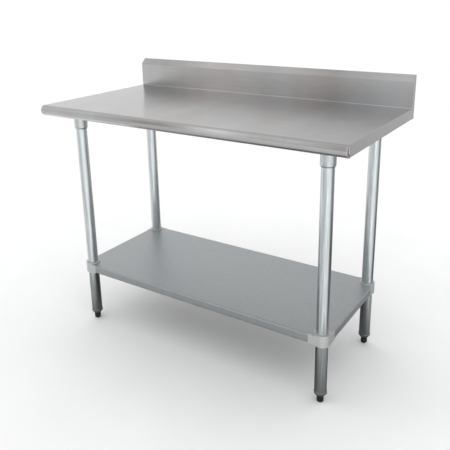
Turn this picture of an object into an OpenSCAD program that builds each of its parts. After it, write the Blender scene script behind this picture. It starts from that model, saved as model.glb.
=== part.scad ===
// Stainless work table: folded top with a rolled front edge and a backsplash, four tube legs,
// an adjustable undershelf on cast corner clamps, and screw-in levelling feet.
// +X runs along the length, the front faces -Y, the wall side faces +Y. The origin is on the floor,
// under the middle of the table. Millimetres.

/* [Top] */
// Length of the table top
top_len = 1219.2; // [900:0.1:1530]
// Depth from the nose of the rolled edge to the wall side
top_depth = 609.6; // [520:0.1:770]
// Height of the work surface above the floor, with the feet screwed fully in
work_height = 914.4; // [760:0.1:1000]
// Thickness of the top's sheet
top_t = 1.5; // [1.2:0.1:2]
// Diameter of the rolled front edge
roll_d = 38.1; // [30:0.1:50]
// Height of the turned-down side and rear edges
edge_h = 38; // [30:0.5:50]
// Width of the inward lip at the bottom of the side and rear edges
edge_lip = 12; // [8:0.5:16]
// Inside radius of the top's bends
top_bend = 1; // [0.5:0.1:2]

/* [Backsplash] */
// Height of the backsplash above the work surface
splash_h = 116; // [60:1:160]
// Depth of the backsplash, which is also the reach of its sloped top
splash_t = 25.4; // [20:0.1:40]
// Inside radius of the cove between the work surface and the backsplash
cove = 3; // [1:0.5:6]

/* [Channels] */
// Height of the stiffening channels
hat_h = 25; // [18:0.5:30]
// Width of a channel's crown
hat_crown = 60; // [54:1:80]
// Width of each channel flange
hat_flange = 18; // [14:0.5:24]
// Thickness of the channels' sheet
hat_t = 1.5; // [1:0.1:2]
// Diameter of the weld studs
stud_d = 4.8; // [4:0.1:6]
// Nut size across flats
nut_af = 8; // [7:0.5:10]

/* [Legs] */
// Outer diameter of the legs
leg_d = 41.3; // [32:0.1:45]
// Wall thickness of the legs
leg_wall = 1.6; // [1.2:0.1:2.5]
// Distance from the table's ends to the leg centres
leg_inset_x = 97.6; // [80:0.1:160]
// Distance from the front and the back of the table to the leg centres
leg_inset_y = 101.6; // [90:0.1:160]
// Wall thickness of the leg sockets
socket_wall = 3.6; // [2.5:0.1:5]
// Length of the leg sockets below the channels
socket_len = 70; // [50:1:90]
// Diameter of the set screws in sockets and clamps
set_screw_d = 8; // [5:0.5:10]

/* [Undershelf] */
// Height of the shelf surface above the floor
shelf_height = 256; // [160:1:600]
// Distance from the leg centres to the shelf's edges
shelf_over = 27.5; // [25:0.5:34]
// Height of the shelf's turned-down edges
shelf_edge = 31; // [26:0.5:45]
// Width of the inward lip under the shelf's edges
shelf_lip = 16; // [14:0.5:24]
// Thickness of the shelf's sheet
shelf_t = 1.2; // [0.9:0.1:2]
// Inside radius of the shelf's bends
shelf_bend = 3; // [1:0.5:5]
// Height of the corner clamps' ring
clamp_h = 41; // [34:0.5:60]
// Height of the clamp's collar above the shelf surface
clamp_collar = 4; // [2:0.5:8]
// Length of the clamp's arms from the leg centre
clamp_arm = 38; // [34:0.5:50]
// Sliding clearance between the clamps and the legs, on the radius
clamp_gap = 0.3; // [0.2:0.05:0.6]

/* [Feet] */
// Height of the hexagonal feet
foot_h = 24; // [18:0.5:34]
// Foot size across flats
foot_af = 22; // [19:0.5:26]
// Diameter of the feet's threaded studs
foot_stud_d = 9.5; // [8:0.1:12]
// How far the feet screw out
foot_travel = 25.4; // [10:0.1:30]
// Height of the collar and cone at the bottom of the foot inserts
insert_h = 17; // [14:0.5:24]
// Clearance of the studs in the inserts, on the radius
thread_gap = 0.05; // [0.02:0.01:0.1]

/* [Hidden] */
$fn = 96;
// Clearance of the small fixed screws in their threads, on the diameter
screw_fit = 0.04;
// Corners: name, side along X, side along Y
CORNERS = [["front_left", -1, -1], ["front_right", 1, -1], ["rear_left", -1, 1], ["rear_right", 1, 1]];
SIDES = [["left", -1], ["right", 1]];

// Top
half_len = top_len / 2;
front_y = -top_depth / 2;
rear_y = top_depth / 2;
splash_y = rear_y - splash_t;
roll_r = roll_d / 2;
roll_y = front_y + roll_r;
roll_sweep = 225;
under_z = work_height - top_t;
edge_z = work_height - edge_h;
top_bend_out = top_bend + top_t;
end_recess = 2.5;
end_fit = 0.1;
// The backsplash's sharp corners, and what its rounded bends take off each flat beside them
slope_cut = top_bend_out * tan(22.5);
peak_cut = top_bend_out * tan(67.5);
crest_z = work_height + splash_h + peak_cut - top_bend_out;
slope_z = crest_z - splash_t;

// Channels under the top
hat_bend = 1.5;
hat_half = hat_crown / 2 + hat_flange;
hat_z = under_z - hat_h;
cross_front = roll_y + roll_r + 2;
cross_rear = splash_y - cove - 3;
cross_len = cross_rear - cross_front;
stud_line = hat_crown / 2 + hat_flange * 0.55;
stud_len = 12;
stud_hole_gap = 0.4;
nut_h = 4;
cross_studs = 4;
long_studs = 4;
stud_margin = 30;

// Legs and sockets
leg_x = half_len - leg_inset_x;
leg_y = top_depth / 2 - leg_inset_y;
leg_r = leg_d / 2;
leg_in_r = leg_r - leg_wall;
insert_z = foot_h + 1;
leg_z = insert_z + insert_h;
socket_plate_t = 3;
socket_fit = 0.1;
socket_in_r = leg_r + socket_fit;
socket_out_r = socket_in_r + socket_wall;
socket_z = hat_z - socket_len;
socket_chamfer = 5;
leg_top = hat_z - socket_plate_t - 2;
set_screw_h = 12;
set_screw_key = set_screw_d * 0.58;
set_screw_boss_r = set_screw_d / 2 + 3;
socket_screw_z = socket_z + 26;

// Undershelf
shelf_half_x = leg_x + shelf_over;
shelf_half_y = leg_y + shelf_over;
shelf_bend_out = shelf_bend + shelf_t;
shelf_deck_z = shelf_height - shelf_t;
lip_top_z = shelf_height - shelf_edge + shelf_t;
clamp_z = shelf_height + clamp_collar - clamp_h;
clamp_bore_r = leg_r + clamp_gap;
clamp_fit = 0.2;
clamp_plate_t = 3;
clamp_tongue_len = 20;
clamp_tongue_w = 8;
tongue_out = shelf_over - shelf_t - clamp_fit;
clamp_screw_z = shelf_height - 21;
clamp_screw_out = shelf_over + 10;
small_screw_d = 4;
small_screw_in = 8;
shelf_hat_h = shelf_edge - 8;
shelf_hat_half = leg_x - 25;

// Feet and inserts
insert_collar_r = leg_r + 1.4;
insert_collar_h = 7;
insert_neck_r = foot_af / 2 + 3;
insert_plug = 46;
foot_stud_embed = 12;
thread_left_in = 18.6;
foot_stud_top = foot_h + foot_travel + thread_left_in;
foot_chamfer = 4;

// ---- shared shapes ----

// Points along an arc, for small bends at slanted angles
function arc_points(c, r, a0, a1, n = 8) = [for (i = [0 : n]) let (a = a0 + (a1 - a0) * i / n)
    c + r * [cos(a), sin(a)]];

// Ring sector between two radii, from angle a0 to angle a1
module arc_strip(r0, r1, a0, a1) {
    reach = 4 * r1;
    steps = ceil(abs(a1 - a0) / 40);
    intersection() {
        difference() {
            circle(r1);
            circle(r0);
        }
        polygon([[0, 0], for (i = [0 : steps])
            let (a = a0 + (a1 - a0) * i / steps) reach * [cos(a), sin(a)]]);
    }
}

// Edge view of a folded sheet, t thick, drawn on the left of its line of travel.
// Each step is [flat length, bend angle, inside radius]; a positive angle turns left.
module folded(t, steps, i = 0) {
    if (i < len(steps)) {
        flat = steps[i][0];
        turn = steps[i][1];
        inner = steps[i][2];
        side = turn > 0 ? t + inner : -inner;
        if (flat > 0) square([flat, t]);
        if (turn != 0) translate([flat, side]) {
            if (turn > 0) arc_strip(inner, inner + t, -90, turn - 90);
            else arc_strip(inner, inner + t, 90 + turn, 90);
            rotate(turn) translate([0, -side]) folded(t, steps, i + 1);
        }
    }
}

// Extrudes an outline drawn in (y, z) along X, centred
module along_x(length) {
    rotate([90, 0, 90]) translate([0, 0, -length / 2]) linear_extrude(length) children();
}

// Extrudes an outline drawn in (x, z) along Y, from y0 to y1
module along_y(y0, y1) {
    translate([0, y1, 0]) rotate([90, 0, 0]) linear_extrude(y1 - y0) children();
}

module at_corner(c) {
    translate([c[1] * leg_x, c[2] * leg_y, 0]) children();
}

// Hat section: two flanges on top, webs down to a crown; its top face is at y = 0
module hat_outline(h, crown, flange, t) {
    flat = flange - hat_bend;
    web = h - 2 * t - 2 * hat_bend;
    translate([-crown / 2 - flange, -t]) folded(t, [
        [flat, -90, hat_bend],
        [web, 90, hat_bend],
        [crown - 2 * (t + hat_bend), 90, hat_bend],
        [web, -90, hat_bend],
        [flat, 0, 0]
    ]);
}

// Socket-head set screw lying along +X, with its point at the origin
module set_screw(length) {
    key_depth = 4;
    point = 1.5;
    rotate([0, 90, 0]) difference() {
        union() {
            cylinder(h = point, r1 = set_screw_d / 2 - point, r2 = set_screw_d / 2);
            translate([0, 0, point]) cylinder(h = length - point, d = set_screw_d);
        }
        translate([0, 0, length - key_depth]) cylinder(h = key_depth + 1, d = set_screw_key, $fn = 6);
    }
}

// ---- top ----

// The sheet at the top of the backsplash, from its front bend over the slope to its rear bend.
// It runs on down both walls by an overlap, so that the three stretches of sheet join as one.
module sloped_return_outline() {
    overlap = 5;
    front = [splash_y + top_bend_out, slope_z - slope_cut];
    peak = [rear_y - top_bend_out, crest_z - peak_cut];
    polygon(concat(
        [[splash_y, front[1] - overlap]],
        arc_points(front, top_bend_out, 180, 135),
        arc_points(peak, top_bend_out, 135, 0),
        [[rear_y, peak[1] - overlap], [rear_y - top_t, peak[1] - overlap]],
        arc_points(peak, top_bend, 0, 135),
        arc_points(front, top_bend, 135, 180),
        [[splash_y + top_t, front[1] - overlap]]
    ));
}

// Deck, cove, backsplash, sloped return, wall side and rear lip, all one sheet
module deck_and_splash_outline() {
    translate([roll_y, under_z]) folded(top_t, [
        [splash_y - cove - roll_y, 90, cove],
        [slope_z - slope_cut - work_height - cove, 0, 0]
    ]);
    sloped_return_outline();
    translate([rear_y - top_t, crest_z - peak_cut]) rotate(-90) folded(top_t, [
        [crest_z - edge_z - peak_cut - top_bend_out, -90, top_bend],
        [edge_lip - top_bend_out, 0, 0]
    ]);
}

module side_edge_outline() {
    translate([half_len - top_bend_out, under_z]) folded(top_t, [
        [0, -90, top_bend],
        [edge_h - 2 * top_bend_out, -90, top_bend],
        [edge_lip - top_bend_out, 0, 0]
    ]);
}

module work_top() {
    color("#b7b7b4") {
        along_x(top_len) translate([roll_y, work_height - roll_r])
            arc_strip(roll_r - top_t, roll_r, 90, 90 + roll_sweep);
        difference() {
            along_x(top_len - 2 * top_t) deck_and_splash_outline();
            for (s = [0, 1]) mirror([s, 0, 0]) translate([half_len - top_bend_out, roll_y - 1, under_z - top_t])
                cube([2 * top_bend_out, splash_y - cove - roll_y + 1, 3 * top_t]);
        }
        for (s = [0, 1]) mirror([s, 0, 0]) along_y(roll_y, splash_y) side_edge_outline();
    }
}

// Closing plate of the backsplash: the outline of the splash, carried down to the bottom of the edge
module splash_end(s) {
    color("#a9a9a6") translate([s * (half_len - top_t / 2), 0, 0]) along_x(top_t) polygon(concat(
        [[splash_y, edge_z], [rear_y, edge_z]],
        arc_points([rear_y - top_bend_out, crest_z - peak_cut], top_bend_out, 0, 135),
        arc_points([splash_y + top_bend_out, slope_z - slope_cut], top_bend_out, 135, 180)
    ));
}

// Closing plate inside the end of the rolled edge
module roll_end(s) {
    inside = roll_r - top_t - end_fit;
    color("#9c9c99") translate([s * (half_len - end_recess - top_t / 2), 0, 0]) along_x(top_t)
        translate([roll_y, work_height - roll_r]) intersection() {
            circle(inside);
            translate([-roll_r, -roll_r]) square([roll_r, 2 * roll_r]);
        }
}

module cross_channel(s) {
    color("#a8adad") translate([s * leg_x, 0, 0]) difference() {
        along_y(cross_front, cross_rear) translate([0, under_z]) hat_outline(hat_h, hat_crown, hat_flange, hat_t);
        cross_stud_places() translate([0, 0, under_z - 2 * hat_t])
            cylinder(h = 3 * hat_t, d = stud_d + 2 * stud_hole_gap);
    }
}

module lengthwise_channel() {
    color("#a8adad") difference() {
        along_x(2 * (leg_x - hat_half)) translate([0, under_z]) hat_outline(hat_h, hat_crown, hat_flange, hat_t);
        long_stud_places() translate([0, 0, under_z - 2 * hat_t])
            cylinder(h = 3 * hat_t, d = stud_d + 2 * stud_hole_gap);
    }
}

// Stud places along one cross channel, about its own middle line
module cross_stud_places() {
    pitch = (cross_len - 2 * stud_margin) / (cross_studs - 1);
    for (side = [-1, 1], i = [0 : cross_studs - 1])
        translate([side * stud_line, cross_front + stud_margin + i * pitch, 0]) children();
}

module long_stud_places() {
    run = 2 * (leg_x - hat_half);
    pitch = (run - 2 * stud_margin) / (long_studs - 1);
    for (side = [-1, 1], i = [0 : long_studs - 1])
        translate([i * pitch + stud_margin - run / 2, side * stud_line, 0]) children();
}

module all_stud_places() {
    for (s = SIDES) translate([s[1] * leg_x, 0, 0]) cross_stud_places() children();
    long_stud_places() children();
}

module weld_studs() {
    color("#b9b9b6") all_stud_places() translate([0, 0, under_z - stud_len]) cylinder(h = stud_len, d = stud_d);
}

module stud_nuts() {
    color("#c4c4c0") all_stud_places() translate([0, 0, under_z - hat_t - nut_h]) difference() {
        cylinder(h = nut_h, d = nut_af / cos(30), $fn = 6);
        translate([0, 0, -1]) cylinder(h = nut_h + 2, d = stud_d + screw_fit);
    }
}

// ---- legs ----

module leg_socket(c) {
    plate_y = 84;
    color("#b4b8b8") at_corner(c) difference() {
        union() {
            translate([-hat_crown / 2 + 1, -plate_y / 2, hat_z - socket_plate_t])
                cube([hat_crown - 2, plate_y, socket_plate_t]);
            translate([0, 0, socket_z + socket_chamfer])
                cylinder(h = socket_len - socket_chamfer, r = socket_out_r);
            translate([0, 0, socket_z])
                cylinder(h = socket_chamfer, r1 = socket_in_r + 0.8, r2 = socket_out_r);
            translate([0, 0, socket_screw_z]) rotate([c[2] * 90, 0, 0])
                cylinder(h = socket_out_r + 5, r = set_screw_boss_r);
        }
        translate([0, 0, socket_z - 1]) cylinder(h = socket_len - socket_plate_t + 1, r = socket_in_r);
        translate([0, 0, socket_screw_z]) rotate([c[2] * 90, 0, 0])
            cylinder(h = socket_out_r + 6, d = set_screw_d + screw_fit);
    }
}

module socket_set_screws() {
    color("#55585a") for (c = CORNERS) at_corner(c) translate([0, -c[2] * leg_r, socket_screw_z])
        rotate(-c[2] * 90) set_screw(set_screw_h);
}

module leg(c) {
    color("#b6bcbd") at_corner(c) translate([0, 0, leg_z]) difference() {
        cylinder(h = leg_top - leg_z, r = leg_r);
        translate([0, 0, -1]) cylinder(h = leg_top - leg_z + 2, r = leg_in_r);
    }
}

// Threaded insert: a plug inside the tube, a collar under its end, and a cone down to the foot
module foot_insert(c) {
    cone = insert_h - insert_collar_h;
    color("#7b7e7f") at_corner(c) translate([0, 0, insert_z]) difference() {
        union() {
            cylinder(h = cone, r1 = insert_neck_r, r2 = insert_collar_r);
            translate([0, 0, cone]) cylinder(h = insert_collar_h, r = insert_collar_r);
            translate([0, 0, insert_h]) cylinder(h = insert_plug, r = leg_in_r);
        }
        translate([0, 0, -1]) cylinder(h = insert_h + insert_plug + 2, d = foot_stud_d + 2 * thread_gap);
    }
}

module foot_stud(c) {
    start = foot_h - foot_stud_embed;
    color("#8f9293") at_corner(c) translate([0, 0, start]) {
        cylinder(h = foot_stud_top - start - 1, d = foot_stud_d);
        translate([0, 0, foot_stud_top - start - 1])
            cylinder(h = 1, d1 = foot_stud_d, d2 = foot_stud_d - 2);
    }
}

// Hexagonal foot with a chamfered bottom and a blind socket for the stud
module foot(c) {
    corner_r = foot_af / cos(30) / 2;
    color("#3c3f41") at_corner(c) difference() {
        intersection() {
            cylinder(h = foot_h, r = corner_r, $fn = 6);
            union() {
                cylinder(h = foot_chamfer, r1 = corner_r - foot_chamfer, r2 = corner_r);
                translate([0, 0, foot_chamfer]) cylinder(h = foot_h - foot_chamfer, r = corner_r);
            }
        }
        translate([0, 0, foot_h - foot_stud_embed]) cylinder(h = foot_stud_embed + 1, d = foot_stud_d);
    }
}

// ---- undershelf ----

// Turned-down edge and its lip, drawn with its outer face at x = out
module shelf_edge_outline(out) {
    translate([out - shelf_bend_out, shelf_deck_z]) folded(shelf_t, [
        [0, -90, shelf_bend],
        [shelf_edge - 2 * shelf_bend_out, -90, shelf_bend],
        [shelf_lip - shelf_bend_out, 0, 0]
    ]);
}

module shelf_pan() {
    run_x = leg_x - clamp_arm - clamp_fit;
    run_y = leg_y - clamp_arm - clamp_fit;
    deck_x = shelf_half_x - shelf_bend_out;
    deck_y = shelf_half_y - shelf_bend_out;
    color("#b1b6b6") difference() {
        union() {
            translate([-deck_x, -deck_y, shelf_deck_z]) cube([2 * deck_x, 2 * deck_y, shelf_t]);
            for (s = [0, 1]) {
                mirror([s, 0, 0]) along_y(-run_y, run_y) shelf_edge_outline(shelf_half_x);
                mirror([0, s, 0]) along_x(2 * run_x) shelf_edge_outline(shelf_half_y);
            }
        }
        for (c = CORNERS) to_corner(c) {
            translate([0, 0, shelf_deck_z - 1]) {
                cylinder(h = shelf_t + 2, r = shelf_over + clamp_fit);
                cube([2 * shelf_over, 2 * shelf_over, shelf_t + 2]);
            }
            clamp_screw_places() translate([0, 0, lip_top_z - 2 * shelf_t])
                cylinder(h = 3 * shelf_t, d = small_screw_d + 0.6);
        }
    }
}

module shelf_channel() {
    color("#a8adad") along_x(2 * shelf_hat_half) translate([0, shelf_deck_z])
        hat_outline(shelf_hat_h, hat_crown, hat_flange, shelf_t);
}

// Turns a clamp drawn for the (+X, +Y) corner to corner c
module to_corner(c) {
    at_corner(c) mirror([c[1] > 0 ? 0 : 1, 0, 0]) mirror([0, c[2] > 0 ? 0 : 1, 0]) children();
}

// Screw places in the two tongues of a clamp drawn for the (+X, +Y) corner
module clamp_screw_places() {
    along = clamp_arm + clamp_tongue_len / 2;
    across = tongue_out - shelf_bend - clamp_tongue_w / 2;
    for (p = [[-along, across], [across, -along]]) translate([p[0], p[1], 0]) children();
}

// Corner clamp: a ring around the leg, two arms flush with the shelf's edges, a plate under the deck,
// and two tongues that stand on the lips inside the pan
module shelf_clamp(c) {
    arm_t = shelf_bend_out - clamp_fit;
    arm_h = shelf_edge + 2.5;
    tongue_h = shelf_deck_z - lip_top_z;
    tongue_end = clamp_arm + clamp_tongue_len;
    tongue_run = tongue_end - 15;
    tongue_in = tongue_out - shelf_bend - clamp_tongue_w;
    color("#bcbdb9") to_corner(c) difference() {
        union() {
            translate([0, 0, clamp_z]) cylinder(h = clamp_h, r = shelf_over);
            translate([0, 0, shelf_height - arm_h]) {
                translate([-clamp_arm, shelf_over - arm_t, 0]) cube([clamp_arm, arm_t, arm_h]);
                translate([shelf_over - arm_t, -clamp_arm, 0]) cube([arm_t, clamp_arm, arm_h]);
            }
            translate([-clamp_arm, -clamp_arm, shelf_deck_z - clamp_plate_t]) {
                cube([clamp_arm, clamp_arm + tongue_out, clamp_plate_t]);
                cube([clamp_arm + tongue_out, clamp_arm, clamp_plate_t]);
            }
            translate([-tongue_end, tongue_in, lip_top_z]) cube([tongue_run, clamp_tongue_w, tongue_h]);
            translate([tongue_in, -tongue_end, lip_top_z]) cube([clamp_tongue_w, tongue_run, tongue_h]);
            translate([0, 0, clamp_screw_z]) rotate([0, 90, -135])
                cylinder(h = clamp_screw_out, r = set_screw_boss_r);
        }
        translate([0, 0, clamp_z - 1]) cylinder(h = clamp_h + 2, r = clamp_bore_r);
        translate([0, 0, clamp_screw_z]) rotate([0, 90, -135])
            cylinder(h = clamp_screw_out + 1, d = set_screw_d + screw_fit);
        clamp_screw_places() translate([0, 0, lip_top_z - 1])
            cylinder(h = small_screw_in + 2, d = small_screw_d + screw_fit);
    }
}

module clamp_set_screws() {
    length = clamp_screw_out - clamp_bore_r - 1;
    color("#55585a") for (c = CORNERS) to_corner(c) translate([0, 0, clamp_screw_z])
        rotate(-135) translate([clamp_bore_r, 0, 0]) set_screw(length);
}

module clamp_screws() {
    head_h = 2.5;
    head_af = 7;
    color("#c4c4c0") for (c = CORNERS) to_corner(c) clamp_screw_places()
        translate([0, 0, lip_top_z - shelf_t]) {
            translate([0, 0, -head_h]) cylinder(h = head_h, d = head_af / cos(30), $fn = 6);
            cylinder(h = shelf_t + small_screw_in, d = small_screw_d);
        }
}

work_top();
lengthwise_channel();
weld_studs();
stud_nuts();
socket_set_screws();
shelf_pan();
shelf_channel();
clamp_set_screws();
clamp_screws();
for (s = SIDES) {
    splash_end(s[1]);
    roll_end(s[1]);
    cross_channel(s[1]);
}
for (c = CORNERS) {
    leg_socket(c);
    leg(c);
    foot_insert(c);
    shelf_clamp(c);
    foot_stud(c);
    foot(c);
}
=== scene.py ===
# Stainless work table: a folded top with a rolled front edge and a backsplash, four tube legs on
# screw-in feet, and an undershelf that slides on the legs. Metres, +X along the length, the wall
# side at +Y, the origin on the floor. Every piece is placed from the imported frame.
import math

import bmesh
import bpy
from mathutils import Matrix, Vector


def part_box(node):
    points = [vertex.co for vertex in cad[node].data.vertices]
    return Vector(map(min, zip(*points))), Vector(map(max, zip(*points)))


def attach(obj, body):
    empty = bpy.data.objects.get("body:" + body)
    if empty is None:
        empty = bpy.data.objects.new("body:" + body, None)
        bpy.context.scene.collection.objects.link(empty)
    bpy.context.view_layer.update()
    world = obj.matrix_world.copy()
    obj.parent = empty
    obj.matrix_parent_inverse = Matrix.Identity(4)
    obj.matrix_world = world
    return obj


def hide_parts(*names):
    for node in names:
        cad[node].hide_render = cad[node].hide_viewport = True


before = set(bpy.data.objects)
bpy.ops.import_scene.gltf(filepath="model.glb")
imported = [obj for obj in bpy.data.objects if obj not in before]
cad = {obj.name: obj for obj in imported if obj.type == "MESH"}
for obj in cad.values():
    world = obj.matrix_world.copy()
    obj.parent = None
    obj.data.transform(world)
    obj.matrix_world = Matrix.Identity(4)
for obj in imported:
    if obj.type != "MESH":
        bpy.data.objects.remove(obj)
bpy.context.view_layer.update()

# ---- camera ----
# It stands off the table's right front corner, 0.4 m above the work surface, and looks down along
# the top towards the far left.
camera = bpy.data.objects.new("camera", bpy.data.cameras.new("camera"))
bpy.context.scene.collection.objects.link(camera)
bpy.context.scene.camera = camera
camera.location = (1.1787, -1.7576, 1.3188)
camera.rotation_euler = [math.radians(angle) for angle in (73.07, 0.84, 32.78)]
camera.data.lens = 47.3
camera.data.shift_x = -0.0115
camera.data.shift_y = -0.1225
bpy.context.scene.view_settings.view_transform = "Standard"

# ---- studio ----
# A white painted floor in a pale room with a wide soft lamp overhead. Metal sees the room and not
# the floor or the lamp, as it does between grey cards in a studio, so it keeps its form.


def linear(srgb):
    """An sRGB hex colour as linear red, green, blue and alpha."""
    channels = [int(srgb[i : i + 2], 16) / 255 for i in (1, 3, 5)]
    return [c / 12.92 if c <= 0.04045 else ((c + 0.055) / 1.055) ** 2.4 for c in channels] + [1]


def add(tree, kind, inputs={}, **settings):
    """Adds a node with its settings. An input is a value, or the output that it is linked to."""
    node = tree.nodes.new(kind)
    for name, value in settings.items():
        setattr(node, name, value)
    for name, value in inputs.items():
        if isinstance(value, bpy.types.NodeSocket):
            tree.links.new(value, node.inputs[name])
        else:
            node.inputs[name].default_value = value
    return node


def new_material(name):
    """An empty node material and its tree."""
    material = bpy.data.materials.new(name)
    material.use_nodes = True
    material.node_tree.nodes.clear()
    return material, material.node_tree


def stops(node, *points):
    """Sets a colour ramp's stops, each a place from 0 to 1 and a grey or a colour."""
    ramp = node.color_ramp
    while len(ramp.elements) < len(points):
        ramp.elements.new(0.5)
    for element, (place, tone) in zip(ramp.elements, points):
        element.position = place
        element.color = (tone, tone, tone, 1) if isinstance(tone, float) else tone
    return node


def flat_sheet(name, half_x, half_y, z):
    """A level rectangle about the origin that is part of the studio."""
    corners = [(-half_x, -half_y), (half_x, -half_y), (half_x, half_y), (-half_x, half_y)]
    mesh = bpy.data.meshes.new(name)
    mesh.from_pydata([(x, y, z) for x, y in corners], [], [(0, 1, 2, 3)])
    piece = bpy.data.objects.new(name, mesh)
    bpy.context.scene.collection.objects.link(piece)
    return piece


floor_half = 70
roller_patch = 1 / 3  # the paint roller leaves patches a third of a metre across
floor = flat_sheet("floor", floor_half, floor_half, 0)
floor.visible_glossy = False
painted_floor, tree = new_material("painted_floor")
floor_at = add(tree, "ShaderNodeTexCoord")
floor_mottle = add(
    tree,
    "ShaderNodeTexNoise",
    {"Vector": floor_at.outputs["Object"], "Scale": 1 / roller_patch, "Detail": 4.0},
)
floor_tone = stops(
    add(tree, "ShaderNodeValToRGB", {"Fac": floor_mottle.outputs["Fac"]}),
    (0.3, linear("#F1F1F1")),
    (0.7, linear("#F4F4F4")),
)
floor_paint = add(
    tree,
    "ShaderNodeBsdfPrincipled",
    {"Base Color": floor_tone.outputs["Color"], "Roughness": 0.85, "Specular IOR Level": 0.1},
)
add(tree, "ShaderNodeOutputMaterial", {"Surface": floor_paint.outputs[0]})
floor.data.materials.append(painted_floor)

# A white backdrop runs up from the floor all round, behind everything that the camera sees
backdrop_radius = 65
paper_patch = 20  # its paper is very slightly uneven over 20 m
form = bmesh.new()
bmesh.ops.create_uvsphere(form, u_segments=64, v_segments=32, radius=backdrop_radius)
backdrop_mesh = bpy.data.meshes.new("backdrop")
form.to_mesh(backdrop_mesh)
form.free()
backdrop = bpy.data.objects.new("backdrop", backdrop_mesh)
bpy.context.scene.collection.objects.link(backdrop)
backdrop.visible_glossy = backdrop.visible_diffuse = False
backdrop.visible_shadow = backdrop.visible_transmission = False
white_paper, tree = new_material("white_paper")
paper_at = add(tree, "ShaderNodeTexCoord")
paper_mottle = add(
    tree, "ShaderNodeTexNoise", {"Vector": paper_at.outputs["Object"], "Scale": 1 / paper_patch}
)
paper_tone = stops(
    add(tree, "ShaderNodeValToRGB", {"Fac": paper_mottle.outputs["Fac"]}),
    (0.3, linear("#FBFBFB")),
    (0.7, linear("#FEFEFE")),
)
paper = add(
    tree, "ShaderNodeEmission", {"Color": paper_tone.outputs["Color"], "Strength": 1.1}
)
add(tree, "ShaderNodeOutputMaterial", {"Surface": paper.outputs[0]})
backdrop_mesh.materials.append(white_paper)

# Painted shadow under the table: a glowing card on the floor, darkest under the middle of the shelf
# and lighter towards its edges, which only the metal around it shows in its reflections
card_half_x, card_half_y = 0.95, 0.62
shade = flat_sheet("shade_card", card_half_x, card_half_y, 0.002)
shade.visible_camera = shade.visible_diffuse = shade.visible_shadow = False
dark_card, tree = new_material("dark_card")
card_at = add(tree, "ShaderNodeTexCoord")
card_round = add(
    tree,
    "ShaderNodeMapping",
    {"Vector": card_at.outputs["Object"], "Scale": (1 / card_half_x, 1 / card_half_y, 0.0)},
)
card_reach = add(tree, "ShaderNodeVectorMath", {0: card_round.outputs[0]}, operation="LENGTH")
# The card's painted shadow: dark grey in the middle, lightening towards its edges
card_tone = stops(
    add(tree, "ShaderNodeValToRGB", {"Fac": card_reach.outputs["Value"]}),
    (0.3, linear("#3C3C3C")),
    (0.6, linear("#5C5C5C")),
    (0.95, linear("#AAAAAA")),
)
card = add(tree, "ShaderNodeEmission", {"Color": card_tone.outputs["Color"], "Strength": 1.0})
add(tree, "ShaderNodeOutputMaterial", {"Surface": card.outputs[0]})
shade.data.materials.append(dark_card)

# The room above the horizon: how bright it is from the wall behind the table (0) by the ceiling
# (0.5) to the wall in front (1), and how that changes along the wall in front and the one behind.
world = bpy.data.worlds.new("studio")
bpy.context.scene.world = world
world.use_nodes = True
tree = world.node_tree
tree.nodes.clear()
ray = add(tree, "ShaderNodeTexCoord")
way = add(tree, "ShaderNodeSeparateXYZ", {"Vector": ray.outputs["Generated"]})
way_x, way_y, way_z = way.outputs
over = add(tree, "ShaderNodeMath", {0: way_z, 1: way_y}, operation="ARCTAN2")
over_place = add(tree, "ShaderNodeMath", {0: over.outputs[0], 1: math.pi}, operation="DIVIDE")
over_tone = stops(
    add(tree, "ShaderNodeValToRGB", {"Fac": over_place.outputs[0]}),
    (0.0, 0.84),
    (0.08, 0.86),
    (0.15, 1.02),
    (0.23, 0.68),
    (0.35, 0.66),
    (0.48, 0.78),
    (0.70, 0.86),
    (0.80, 0.80),
    (0.90, 0.70),
    (1.0, 0.72),
)
front_place = add(
    tree, "ShaderNodeMapRange", {"Value": way_x, "From Min": -0.85, "From Max": -0.25}
)
front_tone = stops(
    add(tree, "ShaderNodeValToRGB", {"Fac": front_place.outputs[0]}),
    (0.0, 1.0),
    (0.28, 0.95),
    (0.34, 0.5),
    (0.40, 0.6),
    (0.47, 1.6),
    (0.57, 1.05),
    (0.63, 0.62),
    (0.66, 1.6),
    (0.68, 0.6),
    (0.71, 1.6),
    (0.73, 0.65),
    (0.77, 0.9),
    (0.81, 0.5),
    (0.87, 0.85),
    (0.95, 1.15),
)
back_amount = add(
    tree,
    "ShaderNodeMapRange",
    {"Value": way_x, "From Min": -0.65, "From Max": -0.2, "To Min": 1.06, "To Max": 0.8},
)
is_front = add(
    tree, "ShaderNodeMapRange", {"Value": way_y, "From Min": 0.0, "From Max": -0.3}
)
wall_amount = add(
    tree,
    "ShaderNodeMix",
    {0: is_front.outputs[0], 2: back_amount.outputs[0], 3: front_tone.outputs["Color"]},
    data_type="FLOAT",
)
upper = add(
    tree,
    "ShaderNodeMath",
    {0: over_tone.outputs["Color"], 1: wall_amount.outputs[0]},
    operation="MULTIPLY",
)

# The room below the horizon: how bright it is all the way round, from in front (0) by the left,
# behind (0.5) and the right, how that changes further down, and a dark doorway low down behind.
round_angle = add(tree, "ShaderNodeMath", {0: way_x, 1: way_y}, operation="ARCTAN2")
round_place = add(
    tree,
    "ShaderNodeMath",
    {0: round_angle.outputs[0], 1: 0.5 / math.pi, 2: 0.5},
    operation="MULTIPLY_ADD",
)
round_tone = stops(
    add(tree, "ShaderNodeValToRGB", {"Fac": round_place.outputs[0]}),
    (0.0, 0.95),
    (0.06, 0.90),
    (0.14, 0.82),
    (0.22, 1.2),
    (0.32, 1.2),
    (0.37, 0.4),
    (0.45, 0.4),
    (0.49, 0.72),
    (0.61, 0.60),
    (0.66, 0.25),
    (0.74, 0.75),
    (0.80, 1.35),
    (0.92, 1.45),
    (1.0, 0.95),
)
down_place = add(
    tree, "ShaderNodeMapRange", {"Value": way_z, "From Min": 0.0, "From Max": -1.0}
)
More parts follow.
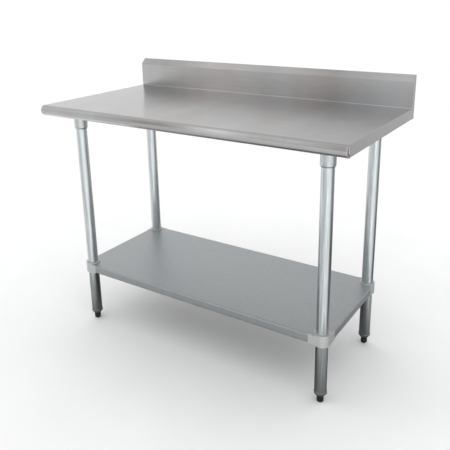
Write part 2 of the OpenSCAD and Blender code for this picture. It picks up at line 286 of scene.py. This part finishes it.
down_tone = stops(
    add(tree, "ShaderNodeValToRGB", {"Fac": down_place.outputs[0]}),
    (0.2, 1.0),
    (0.45, 0.82),
    (0.8, 0.9),
)
doorway = stops(
    add(tree, "ShaderNodeValToRGB", {"Fac": round_place.outputs[0]}),
    (0.42, 1.0),
    (0.48, 0.25),
    (0.67, 0.2),
    (0.73, 1.0),
)
doorway_low = add(
    tree, "ShaderNodeMapRange", {"Value": way_z, "From Min": -0.28, "From Max": -0.42}
)
doorway_amount = add(
    tree,
    "ShaderNodeMix",
    {0: doorway_low.outputs[0], 2: 1.0, 3: doorway.outputs["Color"]},
    data_type="FLOAT",
)
walls = add(
    tree,
    "ShaderNodeMath",
    {0: round_tone.outputs["Color"], 1: down_tone.outputs["Color"]},
    operation="MULTIPLY",
)
lower = add(
    tree,
    "ShaderNodeMath",
    {0: walls.outputs[0], 1: doorway_amount.outputs[0]},
    operation="MULTIPLY",
)
is_low = add(
    tree, "ShaderNodeMapRange", {"Value": way_z, "From Min": 0.05, "From Max": -0.05}
)
room = add(
    tree,
    "ShaderNodeMix",
    {0: is_low.outputs[0], 2: upper.outputs[0], 3: lower.outputs[0]},
    data_type="FLOAT",
)
sky = add(
    tree,
    "ShaderNodeBackground",
    {"Color": (0.99, 0.995, 1.0, 1.0), "Strength": room.outputs[0]},
)
add(tree, "ShaderNodeOutputWorld", {"Surface": sky.outputs[0]})

overhead = bpy.data.objects.new("overhead", bpy.data.lights.new("overhead", "SUN"))
overhead.data.energy = 1.35
overhead.data.angle = math.radians(120)
overhead.rotation_euler = (math.radians(-8), math.radians(-10), 0)
overhead.visible_glossy = False
bpy.context.scene.collection.objects.link(overhead)

# ---- work top ----
# One 1.5 mm sheet of 304 stainless steel: the deck, the rolled front, the coved backsplash with
# its sloped top and the folded edges. It has a No. 4 finish, brushed along the length with 150
# grit, so lamps draw out into streaks across the lines. Plates close the ends of the backsplash.
grit_spacing = 0.0012  # the real lines are 0.15 mm apart; they are drawn 8 times coarser to show
line_length = 1 / 6
smear_scale = (4.5, 1.2, 0.8)  # wiping leaves smears 0.2 m along the sheet and 1 m across it
brushed_stainless, tree = new_material("brushed_stainless")
at = add(tree, "ShaderNodeTexCoord")
face = add(tree, "ShaderNodeNewGeometry")
face_parts = add(tree, "ShaderNodeSeparateXYZ", {"Vector": face.outputs["True Normal"]})
end_face = add(tree, "ShaderNodeMath", {0: face_parts.outputs["X"]}, operation="ABSOLUTE")
is_end = add(tree, "ShaderNodeMath", {0: end_face.outputs[0], 1: 0.7}, operation="GREATER_THAN")
line_way = add(
    tree,
    "ShaderNodeMix",
    {0: is_end.outputs[0], 4: (1.0, 0.0, 0.0), 5: (0.0, 0.0, 1.0)},
    data_type="VECTOR",
)
along_sheet = add(
    tree,
    "ShaderNodeMapping",
    {
        "Vector": at.outputs["Object"],
        "Scale": (1 / line_length, 1 / grit_spacing, 1 / grit_spacing),
    },
)
along_end = add(
    tree,
    "ShaderNodeMapping",
    {
        "Vector": at.outputs["Object"],
        "Scale": (1 / grit_spacing, 1 / grit_spacing, 1 / line_length),
    },
)
lines_at = add(
    tree,
    "ShaderNodeMix",
    {0: is_end.outputs[0], 4: along_sheet.outputs[0], 5: along_end.outputs[0]},
    data_type="VECTOR",
)
lines = add(
    tree, "ShaderNodeTexNoise", {"Vector": lines_at.outputs[1], "Scale": 1.0, "Detail": 2.0}
)
smear_at = add(
    tree, "ShaderNodeMapping", {"Vector": at.outputs["Object"], "Scale": smear_scale}
)
smear = add(
    tree, "ShaderNodeTexNoise", {"Vector": smear_at.outputs[0], "Scale": 1.0, "Detail": 3.0}
)
line_share = add(
    tree,
    "ShaderNodeMix",
    {0: 0.35, 2: smear.outputs["Fac"], 3: lines.outputs["Fac"]},
    data_type="FLOAT",
)
sheet_tone = stops(
    add(tree, "ShaderNodeValToRGB", {"Fac": line_share.outputs[0]}),
    (0.36, linear("#BBB6B4")),
    (0.5, linear("#C3C2C1")),
    (0.64, linear("#C9CACB")),
)
line_rough = add(
    tree,
    "ShaderNodeMapRange",
    {"Value": lines.outputs["Fac"], "To Min": 0.15, "To Max": 0.22},
)
line_bump = add(
    tree,
    "ShaderNodeBump",
    {"Height": lines.outputs["Fac"], "Strength": 0.2, "Distance": 0.0004},
)
steel = add(
    tree,
    "ShaderNodeBsdfPrincipled",
    {
        "Base Color": sheet_tone.outputs["Color"],
        "Metallic": 1.0,
        "Roughness": line_rough.outputs[0],
        "Anisotropic": 0.95,
        "Anisotropic Rotation": 0.25,
        "Tangent": line_way.outputs[1],
        "Normal": line_bump.outputs[0],
    },
)
add(tree, "ShaderNodeOutputMaterial", {"Surface": steel.outputs[0]})


def finish(nodes, material):
    """Gives CAD nodes, named by the start of their names, a material in place of their own."""
    for name in cad:
        if name.startswith(tuple(nodes)):
            cad[name].data.materials.clear()
            cad[name].data.materials.append(material)


finish(["work_top", "splash_end"], brushed_stainless)

# ---- end welds ----
# A mill-finished plate closes each end of the rolled edge, set back inside it, and its darker grey
# is painted shade of that recess. It is TIG welded in, and the weld is ground to a smooth round
# rim that stands just proud of the roll.
pickle_size = 1 / 220  # pickling leaves a mottle about 4.5 mm across
mill_stainless, tree = new_material("mill_stainless")
at = add(tree, "ShaderNodeTexCoord")
pickled = add(
    tree,
    "ShaderNodeTexNoise",
    {"Vector": at.outputs["Object"], "Scale": 1 / pickle_size, "Detail": 4.0},
)
# Painted shade: the plate's grey is set darker than the top's to stand for the recess's shadow; the
# mottle on it is random
mill_tone = stops(
    add(tree, "ShaderNodeValToRGB", {"Fac": pickled.outputs["Fac"]}),
    (0.3, linear("#9A9796")),
    (0.7, linear("#A9A7A6")),
)
mill_rough = add(
    tree,
    "ShaderNodeMapRange",
    {"Value": pickled.outputs["Fac"], "To Min": 0.42, "To Max": 0.55},
)
mill = add(
    tree,
    "ShaderNodeBsdfPrincipled",
    {
        "Base Color": mill_tone.outputs["Color"],
        "Metallic": 1.0,
        "Roughness": mill_rough.outputs[0],
    },
)
add(tree, "ShaderNodeOutputMaterial", {"Surface": mill.outputs[0]})
finish(["roll_end"], mill_stainless)


def place(name, form, material, body, slot, *nodes):
    """Makes a finished bmesh into a piece that rides on a body and stands for CAD nodes, if any."""
    mesh = bpy.data.meshes.new(name)
    bmesh.ops.recalc_face_normals(form, faces=form.faces)
    form.to_mesh(mesh)
    form.free()
    mesh.shade_smooth()
    mesh.set_sharp_from_angle(angle=math.radians(40))
    mesh.materials.append(material)
    piece = bpy.data.objects.new(name, mesh)
    bpy.context.scene.collection.objects.link(piece)
    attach(piece, body)
    if nodes:
        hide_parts(*nodes)


def bead(form, path, radius, closed=False, ripple=0.0, sides=8):
    """Adds a round bead of weld along a path of points, with ripples as high as a share of it."""
    ripple_step = 2.1  # radians of a ripple from one point to the next
    rings = []
    count = len(path)
    for i, centre in enumerate(path):
        before = path[i - 1] if closed or i else path[i]
        after = path[(i + 1) % count] if closed or i < count - 1 else path[i]
        ahead = (after - before).normalized()
        side = side - side.dot(ahead) * ahead if rings else ahead.orthogonal()
        side = side.normalized()
        up = ahead.cross(side)
        size = radius * (1 + ripple * math.sin(i * ripple_step))
        turns = [2 * math.pi * k / sides for k in range(sides)]
        rings.append(
            [form.verts.new(centre + size * (math.cos(a) * side + math.sin(a) * up)) for a in turns]
        )
    for i in range(count if closed else count - 1):
        near, far = rings[i], rings[(i + 1) % count]
        for k in range(sides):
            form.faces.new((near[k], near[(k + 1) % sides], far[(k + 1) % sides], far[k]))
    if not closed:
        form.faces.new(rings[0])
        form.faces.new(rings[-1])


end_weld = 0.0030
weld_inset = 0.0024  # how far the bead's centre lies inside the front of the roll
top_low, top_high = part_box("work_top")
half_turn = [math.radians(90 + 5 * i) for i in range(37)]
form = bmesh.new()
for side_sign, end in ((-1, "left"), (1, "right")):
    low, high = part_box("roll_end_" + end)
    end_x = side_sign * (top_high[0] - end_weld)
    roll_y, roll_z = high[1], (low[2] + high[2]) / 2
    rim = roll_y - top_low[1] - weld_inset
    path = [
        Vector((end_x, roll_y + rim * math.cos(a), roll_z + rim * math.sin(a))) for a in half_turn
    ]
    bead(form, path, end_weld, sides=12)
place("end_welds", form, brushed_stainless, "frame", "stainless_top")

# ---- galvanised channels ----
# Hat channels and the shelf pan are folded from hot-dip galvanised sheet steel. The zinc froze in
# spangles about 8 mm across, a little lighter and darker, and has dulled to a soft grey.
spangle_size = 0.008
wipe_scale = (3.0, 12.0, 12.0)  # the zinc was wiped along the sheet in bands 80 mm wide
galvanised_sheet, tree = new_material("galvanised_sheet")
at = add(tree, "ShaderNodeTexCoord")
spangle = add(
    tree,
    "ShaderNodeTexVoronoi",
    {"Vector": at.outputs["Object"], "Scale": 1 / spangle_size},
    feature="F1",
)
wiped_at = add(tree, "ShaderNodeMapping", {"Vector": at.outputs["Object"], "Scale": wipe_scale})
wiped = add(
    tree, "ShaderNodeTexNoise", {"Vector": wiped_at.outputs[0], "Scale": 1.0, "Detail": 4.0}
)
spangle_amount = add(
    tree,
    "ShaderNodeMix",
    {0: 0.45, 2: spangle.outputs["Color"], 3: wiped.outputs["Fac"]},
    data_type="FLOAT",
)
spangle_tone = stops(
    add(tree, "ShaderNodeValToRGB", {"Fac": spangle_amount.outputs[0]}),
    (0.2, linear("#B4B8BA")),
    (0.8, linear("#BEC2C3")),
)
spangle_rough = add(
    tree,
    "ShaderNodeMapRange",
    {"Value": spangle_amount.outputs[0], "To Min": 0.36, "To Max": 0.46},
)
zinc = add(
    tree,
    "ShaderNodeBsdfPrincipled",
    {
        "Base Color": spangle_tone.outputs["Color"],
        "Metallic": 1.0,
        "Roughness": spangle_rough.outputs[0],
    },
)
add(tree, "ShaderNodeOutputMaterial", {"Surface": zinc.outputs[0]})
finish(["cross_channel", "lengthwise_channel", "shelf_pan", "shelf_channel"], galvanised_sheet)

# ---- threaded studs ----
# Number 10 studs are welded under the deck and take zinc-plated nuts that hold the channels up.
# Their threads are rolled, and the plating leaves them and the nuts fairly bright.
stud_pitch = 0.00106  # 24 threads to the inch
plating_size = 0.0025  # the plating's cloudiness
zinc_plated, tree = new_material("zinc_plated")
at = add(tree, "ShaderNodeTexCoord")
plating = add(
    tree,
    "ShaderNodeTexNoise",
    {"Vector": at.outputs["Object"], "Scale": 1 / plating_size, "Detail": 3.0},
)
plating_tone = stops(
    add(tree, "ShaderNodeValToRGB", {"Fac": plating.outputs["Fac"]}),
    (0.3, linear("#B9BBBD")),
    (0.7, linear("#CFD0CE")),
)
plating_rough = add(
    tree,
    "ShaderNodeMapRange",
    {"Value": plating.outputs["Fac"], "To Min": 0.28, "To Max": 0.42},
)
plated = add(
    tree,
    "ShaderNodeBsdfPrincipled",
    {
        "Base Color": plating_tone.outputs["Color"],
        "Metallic": 1.0,
        "Roughness": plating_rough.outputs[0],
    },
)
add(tree, "ShaderNodeOutputMaterial", {"Surface": plated.outputs[0]})


def cad_form(name):
    """A CAD node's mesh as a bmesh, with the corners that its faces share joined."""
    form = bmesh.new()
    form.from_mesh(cad[name].data)
    bmesh.ops.remove_doubles(form, verts=form.verts, dist=2e-6)
    return form


def islands(name):
    """The lowest and highest corner of each separate solid in a CAD node."""
    form = cad_form(name)
    seen, found = set(), []
    for first in form.verts:
        if first in seen:
            continue
        seen.add(first)
        group, waiting = [], [first]
        while waiting:
            vert = waiting.pop()
            group.append(vert.co.copy())
            for edge in vert.link_edges:
                other = edge.other_vert(vert)
                if other not in seen:
                    seen.add(other)
                    waiting.append(other)
        found.append([Vector(pick(v[i] for v in group) for i in range(3)) for pick in (min, max)])
    form.free()
    return found


def thread(form, low, high, pitch, sides):
    """Adds a screw thread that fills an upright box, with a tapered start at its top."""
    middle, crest, depth = (low + high) / 2, (high.x - low.x) / 2, 0.55 * pitch
    rows = math.ceil((high.z - low.z + 2 * pitch) / (pitch / 2)) + 3
    columns = []
    for i in range(sides):
        angle, start = 2 * math.pi * i / sides, low.z - pitch + pitch * i / sides
        column = []
        for row in range(rows):
            z = min(max(start + row * pitch / 2, low.z), high.z)
            phase = (z - start) / (pitch / 2) % 2
            radius = crest - depth * (phase if phase <= 1 else 2 - phase)
            radius = min(radius, crest - max(0.0, pitch - (high.z - z)))
            x = middle.x + radius * math.cos(angle)
            y = middle.y + radius * math.sin(angle)
            column.append(form.verts.new((x, y, z)))
        columns.append(column)
    # The last column meets the first one a pitch, or two rows, further up, and runs out two rows
    # early at the top, where those rows have all been cut to one height
    for i in range(sides):
        last = i == sides - 1
        near, far, shift = columns[i], columns[0 if last else i + 1], 2 if last else 0
        for row in range(rows - 1 - shift):
            form.faces.new((near[row], far[row + shift], far[row + 1 + shift], near[row + 1]))
    bmesh.ops.remove_doubles(form, verts=form.verts, dist=1e-6)
    bmesh.ops.holes_fill(form, edges=[edge for edge in form.edges if edge.is_boundary])


form = bmesh.new()
for low, high in islands("weld_studs"):
    thread(form, low, high, stud_pitch, 12)
place("stud_threads", form, zinc_plated, "frame", "zinc_hardware", "weld_studs")


def soften(name, width, material, body, segments=2):
    """A copy of a CAD node with its sharp edges rounded to a width, which stands for the node."""
    form = cad_form(name)
    bmesh.ops.dissolve_limit(
        form, angle_limit=math.radians(0.3), verts=form.verts, edges=form.edges
    )
    rough = bpy.data.meshes.new(name + "_rough")
    form.to_mesh(rough)
    form.free()
    for layer in [a.name for a in rough.attributes if a.name == "custom_normal"]:
        rough.attributes.remove(rough.attributes[layer])
    rough.shade_smooth()
    piece = bpy.data.objects.new(name + "_piece", rough)
    bpy.context.scene.collection.objects.link(piece)
    rounding = piece.modifiers.new("rounding", "BEVEL")
    rounding.width, rounding.segments, rounding.harden_normals = width, segments, True
    rounding.limit_method, rounding.angle_limit = "ANGLE", math.radians(28)
    view = bpy.context.evaluated_depsgraph_get()
    piece.data = bpy.data.meshes.new_from_object(piece.evaluated_get(view), depsgraph=view)
    piece.modifiers.clear()
    bpy.data.meshes.remove(rough)
    piece.data.materials.clear()
    piece.data.materials.append(material)
    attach(piece, body)
    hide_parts(name)


soften("stud_nuts", 0.0005, zinc_plated, "frame")
soften("clamp_screws", 0.0004, zinc_plated, "undershelf")

# ---- legs ----
# Cold-drawn 1-5/8 inch galvanised steel tube. Drawing and dipping leave soft streaks down its
# length, brighter and darker, that break up what it reflects.
streak_width = 0.006
streak_length = 1 / 9
galvanised_tube, tree = new_material("galvanised_tube")
at = add(tree, "ShaderNodeTexCoord")
drawn_at = add(
    tree,
    "ShaderNodeMapping",
    {
        "Vector": at.outputs["Object"],
        "Scale": (1 / streak_width, 1 / streak_width, 1 / streak_length),
    },
)
drawn = add(
    tree, "ShaderNodeTexNoise", {"Vector": drawn_at.outputs[0], "Scale": 1.0, "Detail": 3.0}
)
tube_tone = stops(
    add(tree, "ShaderNodeValToRGB", {"Fac": drawn.outputs["Fac"]}),
    (0.3, linear("#BBC2C4")),
    (0.7, linear("#DADFE0")),
)
tube_rough = add(
    tree, "ShaderNodeMapRange", {"Value": drawn.outputs["Fac"], "To Min": 0.15, "To Max": 0.3}
)
tube_bump = add(
    tree,
    "ShaderNodeBump",
    {"Height": drawn.outputs["Fac"], "Strength": 0.6, "Distance": 0.0006},
)
tube = add(
    tree,
    "ShaderNodeBsdfPrincipled",
    {
        "Base Color": tube_tone.outputs["Color"],
        "Metallic": 1.0,
        "Roughness": tube_rough.outputs[0],
        "Normal": tube_bump.outputs[0],
    },
)
add(tree, "ShaderNodeOutputMaterial", {"Surface": tube.outputs[0]})
finish(["leg_f", "leg_r"], galvanised_tube)

# ---- leg sockets ----
# Short steel tubes with a boss for a set screw, each welded to a plate and galvanised as one. The
# weld is a rippled bead around the tube, and the thick dipped zinc is duller than the sheet's.
CORNERS = ["front_left", "front_right", "rear_left", "rear_right"]
socket_radius = 0.02435
socket_weld = 0.0024
weld_drop = 0.0033  # from the top of the 3 mm plate to the middle of the bead
run_width, run_length = 1 / 180, 1 / 60  # the zinc ran down in trickles 5.6 by 17 mm
dipped_zinc, tree = new_material("dipped_zinc")
at = add(tree, "ShaderNodeTexCoord")
runs_at = add(
    tree,
    "ShaderNodeMapping",
    {"Vector": at.outputs["Object"], "Scale": (1 / run_width, 1 / run_width, 1 / run_length)},
)
runs = add(
    tree, "ShaderNodeTexNoise", {"Vector": runs_at.outputs[0], "Scale": 1.0, "Detail": 4.0}
)
dip_tone = stops(
    add(tree, "ShaderNodeValToRGB", {"Fac": runs.outputs["Fac"]}),
    (0.3, linear("#B8BDBF")),
    (0.7, linear("#D2D6D7")),
)
dip_bump = add(
    tree, "ShaderNodeBump", {"Height": runs.outputs["Fac"], "Strength": 0.3, "Distance": 0.0008}
)
dipped = add(
    tree,
    "ShaderNodeBsdfPrincipled",
    {
        "Base Color": dip_tone.outputs["Color"],
        "Metallic": 1.0,
        "Roughness": 0.36,
        "Normal": dip_bump.outputs[0],
    },
)
add(tree, "ShaderNodeOutputMaterial", {"Surface": dipped.outputs[0]})
whole_turn = [2 * math.pi * i / 72 for i in range(72)]
form = bmesh.new()
for corner in CORNERS:
    soften("leg_socket_" + corner, 0.0007, dipped_zinc, "frame")
    low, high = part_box("leg_" + corner)
    leg_at = (Vector(low) + Vector(high)) / 2
    leg_at.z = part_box("leg_socket_" + corner)[1][2] - weld_drop
    path = [leg_at + socket_radius * Vector((math.cos(a), math.sin(a), 0)) for a in whole_turn]
    bead(form, path, socket_weld, closed=True, ripple=0.09)
place("socket_welds", form, dipped_zinc, "frame", "galvanised_socket")

# ---- set screws ----
# Black-oxide set screws with a hexagon socket: oiled black steel, blotched a little lighter.
oil_size = 0.002
black_oxide, tree = new_material("black_oxide")
at = add(tree, "ShaderNodeTexCoord")
oil = add(
    tree,
    "ShaderNodeTexNoise",
    {"Vector": at.outputs["Object"], "Scale": 1 / oil_size, "Detail": 3.0},
)
oxide_tone = stops(
    add(tree, "ShaderNodeValToRGB", {"Fac": oil.outputs["Fac"]}),
    (0.3, linear("#2A2A2C")),
    (0.7, linear("#414245")),
)
oxide = add(
    tree,
    "ShaderNodeBsdfPrincipled",
    {"Base Color": oxide_tone.outputs["Color"], "Metallic": 0.9, "Roughness": 0.4},
)
add(tree, "ShaderNodeOutputMaterial", {"Surface": oxide.outputs[0]})
soften("socket_set_screws", 0.0003, black_oxide, "frame")
soften("clamp_set_screws", 0.0003, black_oxide, "undershelf")

# ---- clamps ----
# Sand-cast aluminium, tumbled: rounded edges, fillets where the arms meet the ring, and a matte
# skin with the print of 0.5 mm sand. The sand is drawn at 1.2 mm so that it shows.
sand_size = 0.0012
cast_aluminium, tree = new_material("cast_aluminium")
at = add(tree, "ShaderNodeTexCoord")
sand = add(
    tree,
    "ShaderNodeTexNoise",
    {"Vector": at.outputs["Object"], "Scale": 1 / sand_size, "Detail": 3.0},
)
cast_tone = stops(
    add(tree, "ShaderNodeValToRGB", {"Fac": sand.outputs["Fac"]}),
    (0.3, linear("#D4D6D6")),
    (0.7, linear("#E8E9E8")),
)
sand_bump = add(
    tree, "ShaderNodeBump", {"Height": sand.outputs["Fac"], "Strength": 0.3, "Distance": 0.0004}
)
cast = add(
    tree,
    "ShaderNodeBsdfPrincipled",
    {
        "Base Color": cast_tone.outputs["Color"],
        "Metallic": 1.0,
        "Roughness": 0.6,
        "Normal": sand_bump.outputs[0],
    },
)
add(tree, "ShaderNodeOutputMaterial", {"Surface": cast.outputs[0]})
for corner in CORNERS:
    clamp = "shelf_clamp_" + corner
    soften(clamp, 0.0014, cast_aluminium, "undershelf", segments=3)

# ---- feet ----
# Each leg end has a grey die-cast insert with a turned collar. A 3/8-16 zinc-plated stud screws
# into it and carries a hexagonal foot of black-oxide steel, chamfered where it meets the floor.
foot_pitch = 0.0254 / 16
skin_size = 1 / 350  # flow marks of the die casting, about 3 mm
scuff_size = 1 / 180  # scuffs about 6 mm across
die_cast, tree = new_material("die_cast_zinc")
at = add(tree, "ShaderNodeTexCoord")
skin = add(
    tree,
    "ShaderNodeTexNoise",
    {"Vector": at.outputs["Object"], "Scale": 1 / skin_size, "Detail": 4.0},
)
skin_tone = stops(
    add(tree, "ShaderNodeValToRGB", {"Fac": skin.outputs["Fac"]}),
    (0.3, linear("#979A9C")),
    (0.7, linear("#AEB1B2")),
)
skin_bump = add(
    tree,
    "ShaderNodeBump",
    {"Height": skin.outputs["Fac"], "Strength": 0.15, "Distance": 0.0003},
)
skinned = add(
    tree,
    "ShaderNodeBsdfPrincipled",
    {
        "Base Color": skin_tone.outputs["Color"],
        "Metallic": 1.0,
        "Roughness": 0.42,
        "Normal": skin_bump.outputs[0],
    },
)
add(tree, "ShaderNodeOutputMaterial", {"Surface": skinned.outputs[0]})
foot_black, tree = new_material("blackened_steel")
at = add(tree, "ShaderNodeTexCoord")
scuff = add(
    tree,
    "ShaderNodeTexNoise",
    {"Vector": at.outputs["Object"], "Scale": 1 / scuff_size, "Detail": 5.0},
)
black_tone = stops(
    add(tree, "ShaderNodeValToRGB", {"Fac": scuff.outputs["Fac"]}),
    (0.35, linear("#4A4B4D")),
    (0.6, linear("#5A5C5E")),
    (0.75, linear("#7C7E80")),
)
black_rough = add(
    tree, "ShaderNodeMapRange", {"Value": scuff.outputs["Fac"], "To Min": 0.32, "To Max": 0.5}
)
blackened = add(
    tree,
    "ShaderNodeBsdfPrincipled",
    {
        "Base Color": black_tone.outputs["Color"],
        "Metallic": 0.9,
        "Roughness": black_rough.outputs[0],
    },
)
add(tree, "ShaderNodeOutputMaterial", {"Surface": blackened.outputs[0]})
for corner in CORNERS:
    body, stud = "levelling_foot_" + corner, "foot_stud_" + corner
    soften("foot_insert_" + corner, 0.0012, die_cast, "frame", segments=3)
    soften("foot_" + corner, 0.0008, foot_black, body)
    form = bmesh.new()
    low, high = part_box(stud)
    thread(form, Vector(low), Vector(high), foot_pitch, 24)
    place("foot_thread_" + corner, form, zinc_plated, body, "zinc_hardware", stud)
